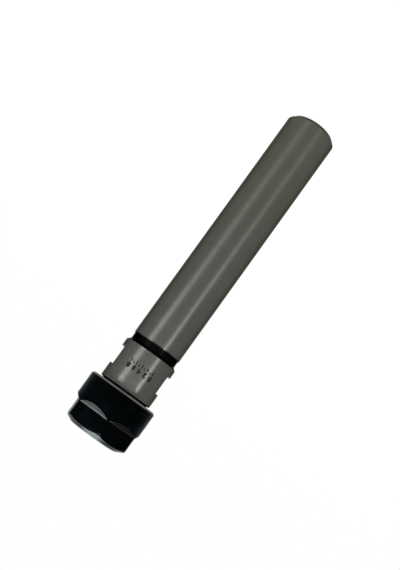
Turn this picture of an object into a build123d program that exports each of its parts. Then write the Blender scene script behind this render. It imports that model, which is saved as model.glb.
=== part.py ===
from build123d import *
import os
from math import cos, radians, sin, tan

# Collet chuck holder: a straight shank body, a spring collet and a hexagon clamping nut.
# The holder stands on the end of its shank. The origin is the centre of that end face.
# +Z runs along the axis towards the nut, and -Y is the side that carries the size marking.
# All sizes are in millimetres and all angles in degrees.

# Spring collet. Its bore, its wall at the thin end and its taper set the seat, thread and nut.
collet_bore_diameter = 6.0
collet_rear_wall = 1.99
collet_length = 27.5
collet_taper_angle = 8.0
collet_head_step = 0.5
collet_head_land = 0.6
collet_cone_width = 1.9
collet_cone_angle = 30.0
collet_groove_width = 2.2
collet_groove_depth = 1.25
collet_edge_break = 0.2

# Slots that let the collet close
slot_count = 8
slot_width = 0.6
front_slot_bridge = 4.5
rear_slot_bridge = 9.0

# Shank and relief groove
shank_diameter = 20.0
shank_length = 100.0
shank_end_chamfer = 1.5
groove_width = 2.5
groove_depth = 0.3

# Collar with two spanner flats
collar_diameter = 21.8
collar_length = 17.5
collar_rear_chamfer = 1.0
collar_front_chamfer = 0.4
spanner_flat_depth = 1.3
spanner_flat_length = 7.7
spanner_flat_setback = 5.8

# Threaded nose. Thread and nut thread are drawn at the roots of their form.
nose_wall = 3.0
thread_pitch = 1.5
thread_depth_per_pitch = 0.6134
thread_relief_width = 1.9
thread_relief_depth = 0.25
nose_chamfer = 0.8

# Bores of the body
tool_bore_diameter = 10.5
tool_bore_depth = 62.0
drill_point_angle = 118.0
rear_bore_diameter = 8.0
rear_countersink_depth = 1.0
rear_countersink_angle = 60.0

# Clamping nut
nut_length = 19.8
nut_wall = 3.0
nut_rear_chamfer = 0.7
nut_edge_break = 0.25
hexagon_sides = 6
hexagon_depth = 1.65
hexagon_length = 8.2
hexagon_corner_angle = -95.3
shoulder_angle = 42.0
front_face_diameter = 20.0
front_chamfer_angle = 27.5
skirt_step = 0.4

# Nick in the corner of the hexagon that faces the marking
nick_radius = 0.7
nick_depth = 0.35

# Clearances between the pieces
nut_gap = 0.4
nose_gap = 1.3
collet_recess = 0.5
cone_clearance = 0.1
lip_side_gap = 0.3
lip_groove_clearance = 0.35
lip_pass_clearance = 0.4
thread_root_clearance = 0.05

# Heights along the axis
collar_rear_z = shank_length + groove_width
collar_front_z = collar_rear_z + collar_length
nut_rear_z = collar_front_z + nut_gap
nut_front_z = nut_rear_z + nut_length

taper_slope = tan(radians(collet_taper_angle))
cone_slope = tan(radians(collet_cone_angle))
collet_front_z = nut_front_z - collet_recess
collet_land_z = collet_front_z - collet_cone_width / cone_slope
collet_groove_z = collet_land_z - collet_head_land
collet_taper_z = collet_groove_z - collet_groove_width
collet_rear_z = collet_front_z - collet_length

lip_front_z = collet_groove_z - lip_side_gap
lip_rear_z = collet_taper_z + lip_side_gap
nose_face_z = lip_rear_z - nose_gap

# Radii that more than one piece goes by
collet_bore_radius = collet_bore_diameter / 2
collet_rear_radius = collet_bore_radius + collet_rear_wall
collet_taper_radius = collet_rear_radius + (collet_taper_z - collet_rear_z) * taper_slope
collet_head_radius = collet_taper_radius + collet_head_step
collet_face_radius = collet_head_radius - collet_cone_width
collet_groove_radius = collet_taper_radius - collet_groove_depth
thread_radius = collet_taper_radius + nose_wall
seat_clearance = cone_clearance / cos(radians(collet_taper_angle))
pocket_clearance = cone_clearance / cos(radians(collet_cone_angle))

# Chuck body, turned as one piece
shank_radius = shank_diameter / 2
groove_radius = shank_radius - groove_depth
collar_radius = collar_diameter / 2
nose_core_radius = thread_radius - thread_depth_per_pitch * thread_pitch
thread_relief_radius = nose_core_radius - thread_relief_depth
thread_relief_z = collar_front_z + thread_relief_width
seat_mouth_radius = collet_taper_radius - (collet_taper_z - nose_face_z) * taper_slope + seat_clearance
tool_bore_radius = tool_bore_diameter / 2
rear_bore_radius = rear_bore_diameter / 2
seat_bottom_z = nose_face_z - (seat_mouth_radius - tool_bore_radius) / taper_slope
tool_bore_z = nose_face_z - tool_bore_depth
drill_point_length = (tool_bore_radius - rear_bore_radius) / tan(radians(drill_point_angle / 2))
countersink_radius = rear_bore_radius + rear_countersink_depth * tan(radians(rear_countersink_angle / 2))
flat_top_z = collar_front_z - spanner_flat_setback
flat_centre_radius = collar_radius - spanner_flat_depth / 2

with BuildPart() as chuck_body:
    with BuildSketch(Plane.XZ) as body_section:
        with BuildLine() as body_outline:
            Polyline(
                (countersink_radius, 0),
                (shank_radius - shank_end_chamfer, 0),
                (shank_radius, shank_end_chamfer),
                (shank_radius, shank_length - groove_depth),
                (groove_radius, shank_length),
                (groove_radius, collar_rear_z),
                (collar_radius - collar_rear_chamfer, collar_rear_z),
                (collar_radius, collar_rear_z + collar_rear_chamfer),
                (collar_radius, collar_front_z - collar_front_chamfer),
                (collar_radius - collar_front_chamfer, collar_front_z),
                (thread_relief_radius, collar_front_z),
                (thread_relief_radius, thread_relief_z - thread_relief_depth),
                (nose_core_radius, thread_relief_z),
                (nose_core_radius, nose_face_z - nose_chamfer),
                (nose_core_radius - nose_chamfer, nose_face_z),
                (seat_mouth_radius, nose_face_z),
                (tool_bore_radius, seat_bottom_z),
                (tool_bore_radius, tool_bore_z),
                (rear_bore_radius, tool_bore_z - drill_point_length),
                (rear_bore_radius, rear_countersink_depth),
                close=True,
            )
        make_face()
    revolve(axis=Axis.Z)

    # Two flats for a spanner, milled square across the collar
    with BuildSketch(Plane.XY.offset(flat_top_z)) as spanner_flats:
        with PolarLocations(flat_centre_radius, 2):
            Rectangle(spanner_flat_depth, collar_diameter)
    extrude(amount=-spanner_flat_length, mode=Mode.SUBTRACT)

chuck_body.part.label = "chuck_body"


# Cutter for one side of the hexagon, with the slanted shoulder that the mill leaves
nut_thread_radius = thread_radius + thread_root_clearance
nut_radius = thread_radius + nut_wall
hexagon_radius = nut_radius - hexagon_depth
shoulder_z = nut_front_z - hexagon_length
cutter_reach = nut_radius + hexagon_depth
cutter_shoulder_z = shoulder_z - (cutter_reach - hexagon_radius) / tan(radians(shoulder_angle))

with BuildPart() as hexagon_cutter:
    with BuildSketch(Plane.XZ) as cutter_section:
        with BuildLine() as cutter_outline:
            Polyline(
                (hexagon_radius, nut_front_z),
                (hexagon_radius, shoulder_z),
                (cutter_reach, cutter_shoulder_z),
                (cutter_reach, nut_front_z),
                close=True,
            )
        make_face()
    extrude(amount=nut_radius, both=True)

# Clamping nut, one piece with its extraction lip
front_face_radius = front_face_diameter / 2
front_chamfer_z = nut_front_z - (nut_radius - front_face_radius) * tan(radians(front_chamfer_angle))
mouth_z = nut_front_z - nut_edge_break
mouth_radius = collet_face_radius + pocket_clearance + (collet_front_z - mouth_z) * cone_slope
pocket_radius = collet_head_radius + pocket_clearance
pocket_z = mouth_z - (pocket_radius - mouth_radius) / cone_slope
lip_near_radius = collet_groove_radius + lip_groove_clearance
lip_far_radius = collet_head_radius + lip_pass_clearance
lip_radius = (lip_near_radius + lip_far_radius) / 2
lip_offset = (lip_far_radius - lip_near_radius) / 2
skirt_radius = lip_far_radius + skirt_step
thread_runout_z = lip_rear_z - (nut_thread_radius - skirt_radius)
thread_lead = thread_pitch / 2
nick_centre_radius = nut_radius + nick_radius - nick_depth
nick_x = nick_centre_radius * cos(radians(hexagon_corner_angle))
nick_y = nick_centre_radius * sin(radians(hexagon_corner_angle))

with BuildPart() as clamping_nut:
    with BuildSketch(Plane.XZ) as nut_section:
        with BuildLine() as nut_outline:
            Polyline(
                (nut_thread_radius + thread_lead, nut_rear_z),
                (nut_radius - nut_rear_chamfer, nut_rear_z),
                (nut_radius, nut_rear_z + nut_rear_chamfer),
                (nut_radius, front_chamfer_z),
                (front_face_radius, nut_front_z),
                (mouth_radius + nut_edge_break, nut_front_z),
                (mouth_radius, mouth_z),
                (pocket_radius, pocket_z),
                (pocket_radius, lip_front_z),
                (mouth_radius, lip_front_z),
                (mouth_radius, lip_rear_z),
                (skirt_radius, lip_rear_z),
                (nut_thread_radius, thread_runout_z),
                (nut_thread_radius, nut_rear_z + thread_lead),
                close=True,
            )
        make_face()
    revolve(axis=Axis.Z)

    # The lip's hole is turned off centre, so that the collet's head can tip past it
    with BuildSketch(Plane.XY.offset(lip_rear_z)) as lip_hole:
        with Locations((lip_offset, 0)):
            Circle(lip_radius)
    extrude(amount=lip_front_z - lip_rear_z, mode=Mode.SUBTRACT)

    # Flats of the hexagon
    with PolarLocations(0, hexagon_sides, start_angle=hexagon_corner_angle + 180 / hexagon_sides):
        add(hexagon_cutter.part, mode=Mode.SUBTRACT)

    # The nick lies where a corner meets the front chamfer
    with Locations((nick_x, nick_y, front_chamfer_z)):
        Sphere(nick_radius, mode=Mode.SUBTRACT)

clamping_nut.part.label = "clamping_nut"


# Spring collet
slot_inner_radius = collet_bore_radius / 2
slot_reach = collet_head_radius + slot_width - slot_inner_radius
slot_centre_radius = slot_inner_radius + slot_reach / 2

with BuildPart() as collet:
    with BuildSketch(Plane.XZ) as collet_section:
        with BuildLine() as collet_outline:
            Polyline(
                (collet_bore_radius + collet_edge_break, collet_front_z),
                (collet_face_radius, collet_front_z),
                (collet_head_radius, collet_land_z),
                (collet_head_radius, collet_groove_z),
                (collet_groove_radius, collet_groove_z),
                (collet_groove_radius, collet_taper_z),
                (collet_taper_radius, collet_taper_z),
                (collet_rear_radius, collet_rear_z + collet_edge_break),
                (collet_rear_radius - collet_edge_break, collet_rear_z),
                (collet_bore_radius, collet_rear_z),
                (collet_bore_radius, collet_front_z - collet_edge_break),
                close=True,
            )
        make_face()
    revolve(axis=Axis.Z)

    # Slots from the front stop short of the rear end
    with BuildSketch(Plane.XY.offset(collet_front_z)) as front_slots:
        with PolarLocations(slot_centre_radius, slot_count):
            Rectangle(slot_reach, slot_width)
    extrude(amount=front_slot_bridge - collet_length, mode=Mode.SUBTRACT)

    # Slots from the rear lie between them and stop short of the head
    with BuildSketch(Plane.XY.offset(collet_rear_z)) as rear_slots:
        with PolarLocations(slot_centre_radius, slot_count, start_angle=180 / slot_count):
            Rectangle(slot_reach, slot_width)
    extrude(amount=collet_length - rear_slot_bridge, mode=Mode.SUBTRACT)

collet.part.label = "collet"

os.makedirs("parts", exist_ok=True)
export_step(chuck_body.part, "parts/chuck_body.step")
export_step(clamping_nut.part, "parts/clamping_nut.step")
export_step(collet.part, "parts/collet.step")
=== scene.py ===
from math import cos, pi, radians, sin, tan

import bmesh
import bpy
from mathutils import Matrix, Vector


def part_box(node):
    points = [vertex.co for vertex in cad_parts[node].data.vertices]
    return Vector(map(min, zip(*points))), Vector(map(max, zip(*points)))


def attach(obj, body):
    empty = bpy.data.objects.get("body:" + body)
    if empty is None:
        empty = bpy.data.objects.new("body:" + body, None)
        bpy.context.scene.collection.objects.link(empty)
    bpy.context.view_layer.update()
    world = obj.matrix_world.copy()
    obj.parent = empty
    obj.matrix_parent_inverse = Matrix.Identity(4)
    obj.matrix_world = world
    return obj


# Looks of a collet chuck holder: ground steel body, black nut, bright slotted collet.
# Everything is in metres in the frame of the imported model. +Z runs from the shank to the nut,
# and -Y is the side that the camera sees. Small sizes are written in millimetres times MM.

MM = 0.001

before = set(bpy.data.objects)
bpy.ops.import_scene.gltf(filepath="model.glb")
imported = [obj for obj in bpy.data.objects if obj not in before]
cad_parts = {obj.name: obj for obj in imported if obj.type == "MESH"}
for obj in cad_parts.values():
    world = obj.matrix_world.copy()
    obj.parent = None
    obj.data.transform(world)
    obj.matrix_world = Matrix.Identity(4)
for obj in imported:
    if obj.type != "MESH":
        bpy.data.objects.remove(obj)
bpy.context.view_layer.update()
scene = bpy.context.scene

# Heights and radii read from the frame
body_low, body_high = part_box("chuck_body")
nut_low, nut_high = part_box("clamping_nut")
collar_radius = body_high.x
nose_face_z = body_high.z
nut_rear_z = nut_low.z
nut_front_z = nut_high.z

# Zones of the body along its axis
nut_gap = 0.4 * MM
collar_length = 17.5 * MM
groove_width = 2.5 * MM
collar_front_z = nut_rear_z - nut_gap
collar_rear_z = collar_front_z - collar_length
shank_end_z = collar_rear_z - groove_width
hexagon_length = 8.2 * MM
shoulder_z = nut_front_z - hexagon_length
nut_middle = Vector((0, 0, (nut_rear_z + nut_front_z) / 2))
collar_middle = Vector((0, 0, (collar_front_z + collar_rear_z) / 2))
collar_rear_chamfer = 1.0 * MM
zone_soft = 0.05 * MM
groove_overlap = 0.15 * MM
shank_rim_width = 0.45 * MM
shank_rim_black = 0.7
nose_overlap = 0.45 * MM
nose_soft = 0.1 * MM
seat_mouth_radius = 8.3 * MM
seat_soft = 0.1 * MM
bore_edge_radius = 5.6 * MM
bore_soft = 0.02 * MM
bore_dark_from = 0.4 * MM
bore_dark_to = 1.2 * MM
bore_black = 0.75
# Painted shade: the shank's colour darkens towards its far end, standing in for light that falls
# off along it.
painted_end_shade_from = 75 * MM
painted_end_shade_to = 20 * MM
painted_end_shade_share = 0.8
shoulder_depth = 0.7 * MM
shoulder_soft = 0.1 * MM

# Thread, right-hand, with its ridges on the nose and in the nut
thread_pitch = 1.5 * MM
nose_core_radius = 10.079 * MM
nose_crest_radius = 10.93 * MM
nut_root_radius = 11.049 * MM
nut_crest_radius = 10.21 * MM
flank_angle = 30.0
nose_crest_width = 0.15 * MM
nut_crest_width = 0.32 * MM
thread_relief = 2.6 * MM
thread_lead_in = 1.6 * MM
nut_thread_reach = 11.0 * MM
nose_thread_start_z = collar_front_z + thread_relief
nose_thread_end_z = nose_face_z - thread_lead_in
nut_thread_start_z = nut_rear_z + thread_lead_in
nut_thread_end_z = nut_rear_z + nut_thread_reach
thread_segments = 96
thread_fade = 0.3
thread_least_share = 0.02
thread_root_sink = 0.03 * MM

# Marking on the collar: a plain scale of ticks and numbers
mark_lift = 0.02 * MM
mark_depth = 0.015 * MM
digit_height = 1.85 * MM
digit_size_share = 0.729
digit_middle = 9.1 * MM
digit_row_z = collar_rear_z + digit_middle - digit_height / 2
digit_spacing = 2.4 * MM
digit_weight = 0.17 * MM
scale_digits = "02468"
tick_row_low = 6.1 * MM
tick_row_z = collar_rear_z + tick_row_low
ticks_per_digit = 2
tick_spacing = digit_spacing / ticks_per_digit
tick_width = 0.42 * MM
long_tick = 1.5 * MM
short_tick = 0.8 * MM

# Camera, fitted to the photograph
camera_place = Vector((0.0, -296.67 * MM, 124.52 * MM))
camera_aim = Vector((0.621 * MM, 0.0, 114.807 * MM))
camera_roll = 144.251
camera_lens = 50.706
camera_sensor = 36.0
camera_shift = (0.12, 0.165)
camera_clip = (0.01, 20.0)

# Studio
world_level = 1.0
floor_radius = 3.0
floor_glow = 0.9
floor_gap = 0.02 * MM
lamp_white = (1.0, 1.0, 1.0)

# Lamps round the collar: name, azimuth, elevation, distance, width, height, radiance, colour
collar_lamps = (
    ("left_strip", 48.8, 42.4, 0.26, 0.083, 0.060, 92.0, lamp_white),
    ("right_strip", -41.0, 44.7, 0.26, 0.0246, 0.060, 280.0, lamp_white),
    ("collar_fill", 4.0, 43.0, 0.069, 0.067, 0.030, 10.5, (1.0, 0.96, 0.95)),
    ("left_fill", 84.5, 43.0, 0.088, 0.105, 0.030, 6.2, lamp_white),
)

# Lamps over the nut: name, place, width, height, radiance, colour
nut_lamps = (
    ("overhead", (0.166, 0.038, 0.493), 0.12, 0.12, 29.0, lamp_white),
    ("overhead_back", (0.012, 0.23, 0.468), 0.12, 0.10, 18.0, lamp_white),
)


def link(obj):
    scene.collection.objects.link(obj)
    return obj


def mesh_object(name, bm):
    bmesh.ops.recalc_face_normals(bm, faces=bm.faces)
    mesh = bpy.data.meshes.new(name)
    bm.to_mesh(mesh)
    bm.free()
    return link(bpy.data.objects.new(name, mesh))


# Node helpers
class Graph:
    """A material's node tree with short calls for the nodes that these finishes need."""

    def __init__(self, name):
        self.material = bpy.data.materials.new(name)
        self.material.use_nodes = True
        self.nodes = self.material.node_tree.nodes
        self.links = self.material.node_tree.links
        self.shader = self.nodes["Principled BSDF"]
        self.place = self.nodes.new("ShaderNodeTexCoord").outputs["Object"]

    def feed(self, socket, value):
        if isinstance(value, bpy.types.NodeSocket):
            self.links.new(value, socket)
        else:
            socket.default_value = value

    def math(self, operation, first, second=0.0):
        node = self.nodes.new("ShaderNodeMath")
        node.operation = operation
        self.feed(node.inputs[0], first)
        self.feed(node.inputs[1], second)
        return node.outputs[0]

    def ramp(self, value, low, high, start=0.0, end=1.0):
        node = self.nodes.new("ShaderNodeMapRange")
        node.interpolation_type = "SMOOTHSTEP"
        self.feed(node.inputs["Value"], value)
        node.inputs["From Min"].default_value = low
        node.inputs["From Max"].default_value = high
        node.inputs["To Min"].default_value = start
        node.inputs["To Max"].default_value = end
        return node.outputs[0]

    def band(self, value, low, high, soft):
        return self.math("MULTIPLY", self.ramp(value, low - soft, low + soft),
                         self.ramp(value, high - soft, high + soft, 1.0, 0.0))

    def scaled(self, scale):
        node = self.nodes.new("ShaderNodeMapping")
        node.inputs["Scale"].default_value = scale
        self.links.new(self.place, node.inputs["Vector"])
        return node.outputs[0]

    def noise(self, scale, detail=3.0, roughness=0.55):
        node = self.nodes.new("ShaderNodeTexNoise")
        self.links.new(self.scaled(scale), node.inputs["Vector"])
        node.inputs["Scale"].default_value = 1.0
        node.inputs["Detail"].default_value = detail
        node.inputs["Roughness"].default_value = roughness
        return node.outputs["Fac"]

    def mix(self, share, first, second):
        node = self.nodes.new("ShaderNodeMix")
        node.data_type = "RGBA"
        self.feed(node.inputs["Factor"], share)
        self.feed(node.inputs[6], first)
        self.feed(node.inputs[7], second)
        return node.outputs[2]

    def height_of(self, vector):
        split = self.nodes.new("ShaderNodeSeparateXYZ")
        self.links.new(vector, split.inputs[0])
        return split.outputs["Z"]

    def radius(self):
        flat = self.nodes.new("ShaderNodeVectorMath")
        flat.operation = "MULTIPLY"
        self.links.new(self.place, flat.inputs[0])
        flat.inputs[1].default_value = (1.0, 1.0, 0.0)
        length = self.nodes.new("ShaderNodeVectorMath")
        length.operation = "LENGTH"
        self.links.new(flat.outputs[0], length.inputs[0])
        return length.outputs["Value"]

    def rounded_normal(self, radius):
        node = self.nodes.new("ShaderNodeBevel")
        node.samples = 4
        node.inputs["Radius"].default_value = radius
        return node.outputs["Normal"]

    def edge_wear(self, rounded):
        true_normal = self.nodes.new("ShaderNodeNewGeometry").outputs["Normal"]
        dot = self.nodes.new("ShaderNodeVectorMath")
        dot.operation = "DOT_PRODUCT"
        self.links.new(rounded, dot.inputs[0])
        self.links.new(true_normal, dot.inputs[1])
        return self.ramp(dot.outputs["Value"], 0.995, 0.93)

    def bump(self, height, distance, normal):
        node = self.nodes.new("ShaderNodeBump")
        node.inputs["Strength"].default_value = 1.0
        node.inputs["Distance"].default_value = distance
        self.links.new(height, node.inputs["Height"])
        self.links.new(normal, node.inputs["Normal"])
        return node.outputs["Normal"]

    def turned_grain(self, anisotropic):
        """Stretches the highlights as marks that run round the axis do."""
        self.shader.inputs["Anisotropic"].default_value = anisotropic
        self.shader.inputs["Anisotropic Rotation"].default_value = 0.25
        node = self.nodes.new("ShaderNodeTangent")
        node.direction_type = "RADIAL"
        node.axis = "Z"
        self.links.new(node.outputs["Tangent"], self.shader.inputs["Tangent"])

    def metal(self, colour, roughness, normal):
        self.shader.inputs["Metallic"].default_value = 1.0
        self.feed(self.shader.inputs["Base Color"], colour)
        self.feed(self.shader.inputs["Roughness"], roughness)
        self.feed(self.shader.inputs["Normal"], normal)


# Noise scales in repeats to the metre. A large last number gives rings round the axis
ring_scale = (90.0, 90.0, 5200.0)
fine_ring_scale = (200.0, 200.0, 16000.0)
mottle_scale = (140.0, 140.0, 140.0)
grain_scale = (1500.0, 1500.0, 4200.0)
nut_ring_scale = (90.0, 90.0, 2200.0)
nut_mottle_scale = (220.0, 220.0, 220.0)
collet_ring_scale = (70.0, 70.0, 3500.0)
collet_mottle_scale = (300.0, 300.0, 300.0)
speckle_scale = (4000.0, 4000.0, 4000.0)

# Colours of the body
steel_dark = (0.072, 0.074, 0.066, 1.0)
steel_light = (0.082, 0.083, 0.075, 1.0)
# Painted shade: the darker steel colour towards the shank's far end
steel_far_end_painted_shade = (0.073, 0.073, 0.058, 1.0)
steel_grain = (0.066, 0.067, 0.059, 1.0)
steel_mottle = (0.088, 0.086, 0.077, 1.0)
steel_worn = (0.15, 0.148, 0.138, 1.0)
steel_edge_tint = (0.4, 0.4, 0.38, 1.0)
groove_dark = (0.0013, 0.0015, 0.0016, 1.0)
groove_light = (0.0024, 0.0026, 0.0027, 1.0)

# Colours of the nut
oxide_dark = (0.0005, 0.0009, 0.0010, 1.0)
oxide_light = (0.0010, 0.0015, 0.0017, 1.0)
oxide_worn = (0.014, 0.015, 0.015, 1.0)
oxide_edge_tint = (0.56, 0.58, 0.59, 1.0)
# Lighter colours for the shoulder, the front cone and the rear chamfer: partly a bright turned
# finish, partly painted highlight. The shoulder's colour grows lighter from rim to root.
shoulder_rim = (0.005, 0.0055, 0.0056, 1.0)
shoulder_root = (0.0145, 0.0153, 0.0153, 1.0)
front_cone = (0.018, 0.0191, 0.0191, 1.0)
rear_chamfer = (0.105, 0.103, 0.096, 1.0)

# Colours of the collet and the marking
collet_dark = (0.42, 0.42, 0.41, 1.0)
collet_light = (0.52, 0.52, 0.51, 1.0)
collet_worn = (0.66, 0.66, 0.65, 1.0)
mark_dark = (0.0015, 0.0015, 0.0014, 1.0)
mark_light = (0.006, 0.0055, 0.005, 1.0)


# Finishes
def ground_steel():
    """Ground round the axis, with black in the relief groove and on the unground nose."""
    g = Graph("ground_steel_finish")
    height, radius = g.height_of(g.place), g.radius()
    rings = g.noise(ring_scale)
    fine = g.noise(fine_ring_scale, 2.0)
    mottle = g.noise(mottle_scale, 4.0)
    grain = g.noise(grain_scale, 3.0)

    # Black places: the groove, the shank's rim beside it, the nose outside its seat, the bore
    groove_top = collar_rear_z + collar_rear_chamfer * 0.9
    groove = g.band(height, shank_end_z - groove_overlap, groove_top, zone_soft)
    rim = g.band(height, shank_end_z - shank_rim_width, collar_rear_z, zone_soft)
    rim = g.math("MULTIPLY", rim, shank_rim_black)
    nose_start = collar_front_z - nose_overlap
    nose = g.ramp(height, nose_start, nose_start + nose_soft)
    seat = g.ramp(radius, seat_mouth_radius, seat_mouth_radius - seat_soft)
    seat = g.math("MULTIPLY", seat, nose)
    bore = g.ramp(radius, bore_edge_radius - bore_soft, bore_edge_radius + bore_soft, 1.0, 0.0)
    deep = g.math("MULTIPLY", bore, g.ramp(height, bore_dark_from, bore_dark_to))
    black = g.math("MAXIMUM", g.math("MAXIMUM", groove, rim), g.math("SUBTRACT", nose, seat))
    black = g.math("MAXIMUM", black, g.math("MULTIPLY", deep, bore_black))

    steel = g.mix(g.ramp(rings, 0.3, 0.7), steel_dark, steel_light)
    # Painted shade: the steel darkens towards the shank's far end, as if less light reached it
    # there.
    far = g.ramp(height, painted_end_shade_from, painted_end_shade_to, 0.0, painted_end_shade_share)
    steel = g.mix(far, steel, steel_far_end_painted_shade)
    steel = g.mix(g.ramp(grain, 0.35, 0.65, 0.0, 0.5), steel, steel_grain)
    steel = g.mix(g.ramp(mottle, 0.35, 0.7, 0.0, 0.3), steel, steel_mottle)
    rounded = g.rounded_normal(0.12 * MM)
    wear = g.math("MULTIPLY", g.edge_wear(rounded), g.ramp(mottle, 0.3, 0.6, 0.3, 0.9))
    steel = g.mix(wear, steel, steel_worn)
    oxide = g.mix(g.ramp(mottle, 0.3, 0.7), groove_dark, groove_light)
    rough = g.math("ADD", g.ramp(rings, 0.25, 0.75, 0.285, 0.309),
                   g.ramp(fine, 0.3, 0.7, -0.012, 0.012))
    relief = g.math("ADD", g.math("ADD", rings, g.math("MULTIPLY", fine, 0.4)),
                    g.math("MULTIPLY", grain, 0.6))
    g.metal(g.mix(black, steel, oxide), rough, g.bump(relief, 0.0006 * MM, rounded))
    g.shader.inputs["Specular Tint"].default_value = steel_edge_tint
    g.turned_grain(0.954)
    return g.material


def black_oxide(name, turned_and_highlight=1.0):
    """Smooth black oxide. Where the share is one, cones and chamfers get a lighter colour: partly a
    bright turned finish, partly a painted highlight.
    """
    g = Graph(name)
    height = g.height_of(g.place)
    rings = g.noise(nut_ring_scale)
    mottle = g.noise(nut_mottle_scale, 5.0)
    facing = g.height_of(g.nodes.new("ShaderNodeTexCoord").outputs["Normal"])
    # Cones and chamfers, found by the way they face, are painted lighter: partly a bright turned
    # finish, partly painted highlight.
    front = g.math("MULTIPLY", g.band(facing, 0.8, 0.95, 0.03), turned_and_highlight)
    shoulder = g.math("MULTIPLY", g.band(facing, 0.55, 0.78, 0.03), turned_and_highlight)
    rear = g.math("MULTIPLY", g.band(facing, -0.9, -0.5, 0.04), turned_and_highlight)
    # The shoulder's painted colour grows lighter from its rim to its root.
    root = g.ramp(height, shoulder_z - shoulder_depth, shoulder_z - shoulder_soft)
    cut_and_highlight = g.mix(root, shoulder_rim, shoulder_root)
    oxide = g.mix(g.ramp(mottle, 0.3, 0.7), oxide_dark, oxide_light)
    oxide = g.mix(shoulder, oxide, cut_and_highlight)
    oxide = g.mix(front, oxide, front_cone)
    oxide = g.mix(rear, oxide, rear_chamfer)
    rounded = g.rounded_normal(0.15 * MM)
    wear = g.math("MULTIPLY", g.edge_wear(rounded), g.ramp(mottle, 0.3, 0.7, 0.4, 0.7))
    rough = g.math("SUBTRACT", g.ramp(mottle, 0.25, 0.75, 0.30, 0.38),
                   g.math("MULTIPLY", front, 0.06))
    g.metal(g.mix(wear, oxide, oxide_worn), rough, g.bump(rings, 0.003 * MM, rounded))
    g.shader.inputs["Specular Tint"].default_value = oxide_edge_tint
    return g.material


def collet_steel():
    """Bright fine ground spring steel."""
    g = Graph("collet_steel_finish")
    rings = g.noise(collet_ring_scale)
    mottle = g.noise(collet_mottle_scale, 4.0)
    steel = g.mix(g.ramp(rings, 0.3, 0.7), collet_dark, collet_light)
    rounded = g.rounded_normal(0.06 * MM)
    wear = g.math("MULTIPLY", g.edge_wear(rounded), 0.6)
    rough = g.ramp(mottle, 0.25, 0.75, 0.18, 0.25)
    g.metal(g.mix(wear, steel, collet_worn), rough, g.bump(rings, 0.0015 * MM, rounded))
    g.turned_grain(0.4)
    return g.material


def laser_mark():
    """Matte dark marking, slightly uneven as a laser leaves it."""
    g = Graph("laser_mark_finish")
    speckle = g.noise(speckle_scale, 2.0)
    g.feed(g.shader.inputs["Base Color"], g.mix(g.ramp(speckle, 0.35, 0.7), mark_dark, mark_light))
    g.feed(g.shader.inputs["Roughness"], g.ramp(speckle, 0.3, 0.7, 0.65, 0.85))
    g.shader.inputs["Specular IOR Level"].default_value = 0.05
    g.feed(g.shader.inputs["Normal"], g.bump(speckle, 0.002 * MM, g.rounded_normal(0.01 * MM)))
    return g.material


def dress(node, material):
    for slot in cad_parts[node].material_slots:
        slot.material = material


# Thread ridges
def thread_ridge(name, start_z, end_z, root_radius, crest_radius, crest_width, phase_z):
    """A helical ridge that fades out over part of a turn at each end."""
    depth = abs(crest_radius - root_radius)
    outward = 1.0 if crest_radius > root_radius else -1.0
    half_crest = crest_width / 2
    half_root = half_crest + depth * tan(radians(flank_angle))
    sunk_radius = root_radius - outward * thread_root_sink
    turns = (end_z - start_z) / thread_pitch
    steps = round(turns * thread_segments)
    bm = bmesh.new()
    rows = []
    for i in range(steps + 1):
        turn = i / thread_segments
        z = start_z + turn * thread_pitch
        angle = 2 * pi * (z - phase_z) / thread_pitch
        share = min(1.0, turn / thread_fade, (turns - turn) / thread_fade)
        share = max(thread_least_share, share)
        crest = root_radius + outward * depth * share
        section = [(sunk_radius, -half_root), (root_radius, -half_root), (crest, -half_crest),
                   (crest, half_crest), (root_radius, half_root), (sunk_radius, half_root)]
        rows.append([bm.verts.new((r * cos(angle), r * sin(angle), z + dz)) for r, dz in section])
    for low, high in zip(rows, rows[1:]):
        for j in range(len(low)):
            k = (j + 1) % len(low)
            bm.faces.new((low[j], low[k], high[k], high[j]))
    bm.faces.new(rows[0])
    bm.faces.new(rows[-1])
    return mesh_object(name, bm)


def make_threads(material):
    nose = thread_ridge("nose_thread", nose_thread_start_z, nose_thread_end_z, nose_core_radius,
                        nose_crest_radius, nose_crest_width, nose_thread_start_z)
    nut = thread_ridge("nut_thread", nut_thread_start_z, nut_thread_end_z, nut_root_radius,
                       nut_crest_radius, nut_crest_width, nose_thread_start_z + thread_pitch / 2)
    for piece, body in ((nose, "chuck_body"), (nut, "clamping_nut")):
        piece.data.materials.append(material)
        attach(piece, body)


# Marking
def wrapped(bm, radius):
    """Bends flat work in X and Z, with its thickness in Y, round the front of the collar."""
    for vert in bm.verts:
        angle = vert.co.x / collar_radius - pi / 2
        reach = radius + vert.co.y
        vert.co = Vector((reach * cos(angle), reach * sin(angle), vert.co.z))


def text_plate(name, text, height):
    """Plain figures of that height as a thin solid, centred in X, standing on Z zero."""
    curve = bpy.data.curves.new(name, "FONT")
    curve.body = text
    curve.align_x = "CENTER"
    curve.size = height / digit_size_share
    curve.extrude = mark_depth
    curve.offset = digit_weight
    curve.resolution_u = 4
    source = bpy.data.objects.new(name + "_source", curve)
    link(source)
    bpy.context.view_layer.update()
    solid = source.evaluated_get(bpy.context.evaluated_depsgraph_get())
    mesh = bpy.data.meshes.new_from_object(solid)
    bpy.data.objects.remove(source)
    bm = bmesh.new()
    bm.from_mesh(mesh)
    bmesh.ops.transform(bm, matrix=Matrix.Rotation(pi / 2, 4, "X"), verts=bm.verts)
    return bm


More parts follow.
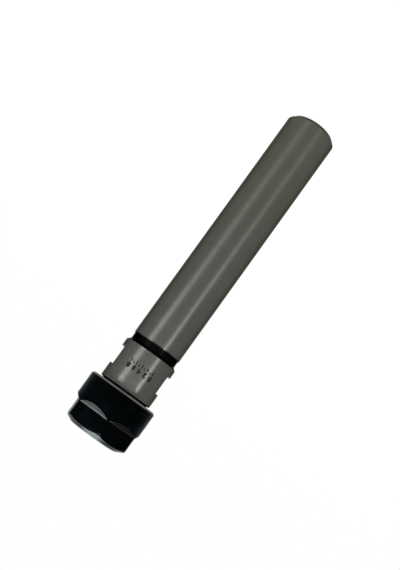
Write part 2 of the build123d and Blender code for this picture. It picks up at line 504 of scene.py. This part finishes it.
def make_marking(material):
    figures = bmesh.new()
    first = -(len(scale_digits) - 1) / 2 * digit_spacing
    for i, digit in enumerate(scale_digits):
        plate = text_plate("figure", digit, digit_height)
        place = (first + i * digit_spacing, 0, digit_row_z)
        bmesh.ops.translate(plate, vec=place, verts=plate.verts)
        mesh = bpy.data.meshes.new("figure")
        plate.to_mesh(mesh)
        plate.free()
        figures.from_mesh(mesh)
    ticks = bmesh.new()
    for i in range((len(scale_digits) - 1) * ticks_per_digit + 1):
        size = long_tick if i % ticks_per_digit == 0 else short_tick
        middle = (first + i * tick_spacing, 0, tick_row_z + long_tick - size / 2)
        stretch = Matrix.Diagonal((tick_width, 2 * mark_depth, size, 1.0))
        bmesh.ops.create_cube(ticks, size=1.0, matrix=Matrix.Translation(middle) @ stretch)
    for name, bm in (("scale_figures", figures), ("scale_ticks", ticks)):
        wrapped(bm, collar_radius + mark_lift - mark_depth)
        piece = mesh_object(name, bm)
        piece.data.materials.append(material)
        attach(piece, "chuck_body")


# Studio
def white_ray_share(nodes, links):
    """One for rays from the camera and for mirrored and transmitted rays, and zero for the rest."""
    path = nodes.new("ShaderNodeLightPath")
    first = nodes.new("ShaderNodeMath")
    first.operation = "MAXIMUM"
    links.new(path.outputs["Is Camera Ray"], first.inputs[0])
    links.new(path.outputs["Is Glossy Ray"], first.inputs[1])
    second = nodes.new("ShaderNodeMath")
    second.operation = "MAXIMUM"
    links.new(first.outputs[0], second.inputs[0])
    links.new(path.outputs["Is Transmission Ray"], second.inputs[1])
    return second.outputs[0]


def make_world():
    world = bpy.data.worlds.new("studio")
    scene.world = world
    world.use_nodes = True
    background = world.node_tree.nodes["Background"]
    background.inputs["Color"].default_value = (1.0, 1.0, 1.0, 1.0)
    background.inputs["Strength"].default_value = world_level


def make_floor():
    """A round white floor, partly bright of itself and clear from below, to show the end face."""
    bm = bmesh.new()
    bmesh.ops.create_circle(bm, cap_ends=True, segments=96, radius=floor_radius)
    bmesh.ops.translate(bm, vec=(0, 0, body_low.z - floor_gap), verts=bm.verts)
    floor = mesh_object("floor", bm)
    if floor.data.polygons[0].normal.z < 0:
        floor.data.flip_normals()
    material = bpy.data.materials.new("white_floor")
    material.use_nodes = True
    nodes, links = material.node_tree.nodes, material.node_tree.links
    shader = nodes["Principled BSDF"]
    shader.inputs["Base Color"].default_value = (1.0, 1.0, 1.0, 1.0)
    shader.inputs["Roughness"].default_value = 0.9
    shader.inputs["Specular IOR Level"].default_value = 0.0
    emission = nodes.new("ShaderNodeEmission")
    emission.inputs["Strength"].default_value = 1.0
    mix = nodes.new("ShaderNodeMixShader")
    share = nodes.new("ShaderNodeMath")
    share.operation = "MULTIPLY"
    share.inputs[1].default_value = floor_glow
    links.new(white_ray_share(nodes, links), share.inputs[0])
    links.new(share.outputs[0], mix.inputs[0])
    links.new(shader.outputs[0], mix.inputs[1])
    links.new(emission.outputs[0], mix.inputs[2])
    from_below = nodes.new("ShaderNodeMixShader")
    links.new(nodes.new("ShaderNodeNewGeometry").outputs["Backfacing"], from_below.inputs[0])
    links.new(mix.outputs[0], from_below.inputs[1])
    links.new(nodes.new("ShaderNodeBsdfTransparent").outputs[0], from_below.inputs[2])
    links.new(from_below.outputs[0], nodes["Material Output"].inputs["Surface"])
    floor.data.materials.append(material)


def area_light(name, place, aim, width, height, radiance, colour):
    """A soft panel. Its power follows from its size and how bright its face is."""
    data = bpy.data.lights.new(name, "AREA")
    data.shape = "RECTANGLE"
    data.size = width
    data.size_y = height
    data.energy = radiance * pi * width * height
    data.color = colour
    lamp = link(bpy.data.objects.new(name, data))
    lamp.location = place
    lamp.rotation_euler = (aim - place).to_track_quat("-Z", "Y").to_euler()
    lamp.visible_camera = False


def raised(azimuth, elevation, distance):
    """A place seen from the collar's middle at that azimuth and that angle above the horizontal."""
    a, e = radians(azimuth), radians(elevation)
    return collar_middle + distance * Vector((cos(e) * sin(a), -cos(e) * cos(a), sin(e)))


def make_lights():
    for name, azimuth, elevation, distance, width, height, radiance, colour in collar_lamps:
        place = raised(azimuth, elevation, distance)
        area_light(name, place, collar_middle, width, height, radiance, colour)
    for name, place, width, height, radiance, colour in nut_lamps:
        area_light(name, Vector(place), nut_middle, width, height, radiance, colour)


def make_camera():
    data = bpy.data.cameras.new("camera")
    data.lens = camera_lens
    data.sensor_width = camera_sensor
    data.shift_x, data.shift_y = camera_shift
    data.clip_start, data.clip_end = camera_clip
    camera = link(bpy.data.objects.new("camera", data))
    view = (camera_aim - camera_place).to_track_quat("-Z", "Y").to_matrix()
    roll = Matrix.Rotation(-radians(camera_roll), 3, "Z")
    camera.matrix_world = Matrix.Translation(camera_place) @ (view @ roll).to_4x4()
    scene.camera = camera


def main():
    dress("chuck_body", ground_steel())
    dress("clamping_nut", black_oxide("black_oxide_finish"))
    dress("collet", collet_steel())
    make_threads(black_oxide("thread_oxide_finish", 0.0))
    make_marking(laser_mark())
    make_world()
    make_floor()
    make_lights()
    make_camera()
    scene.view_settings.view_transform = "Standard"


main()
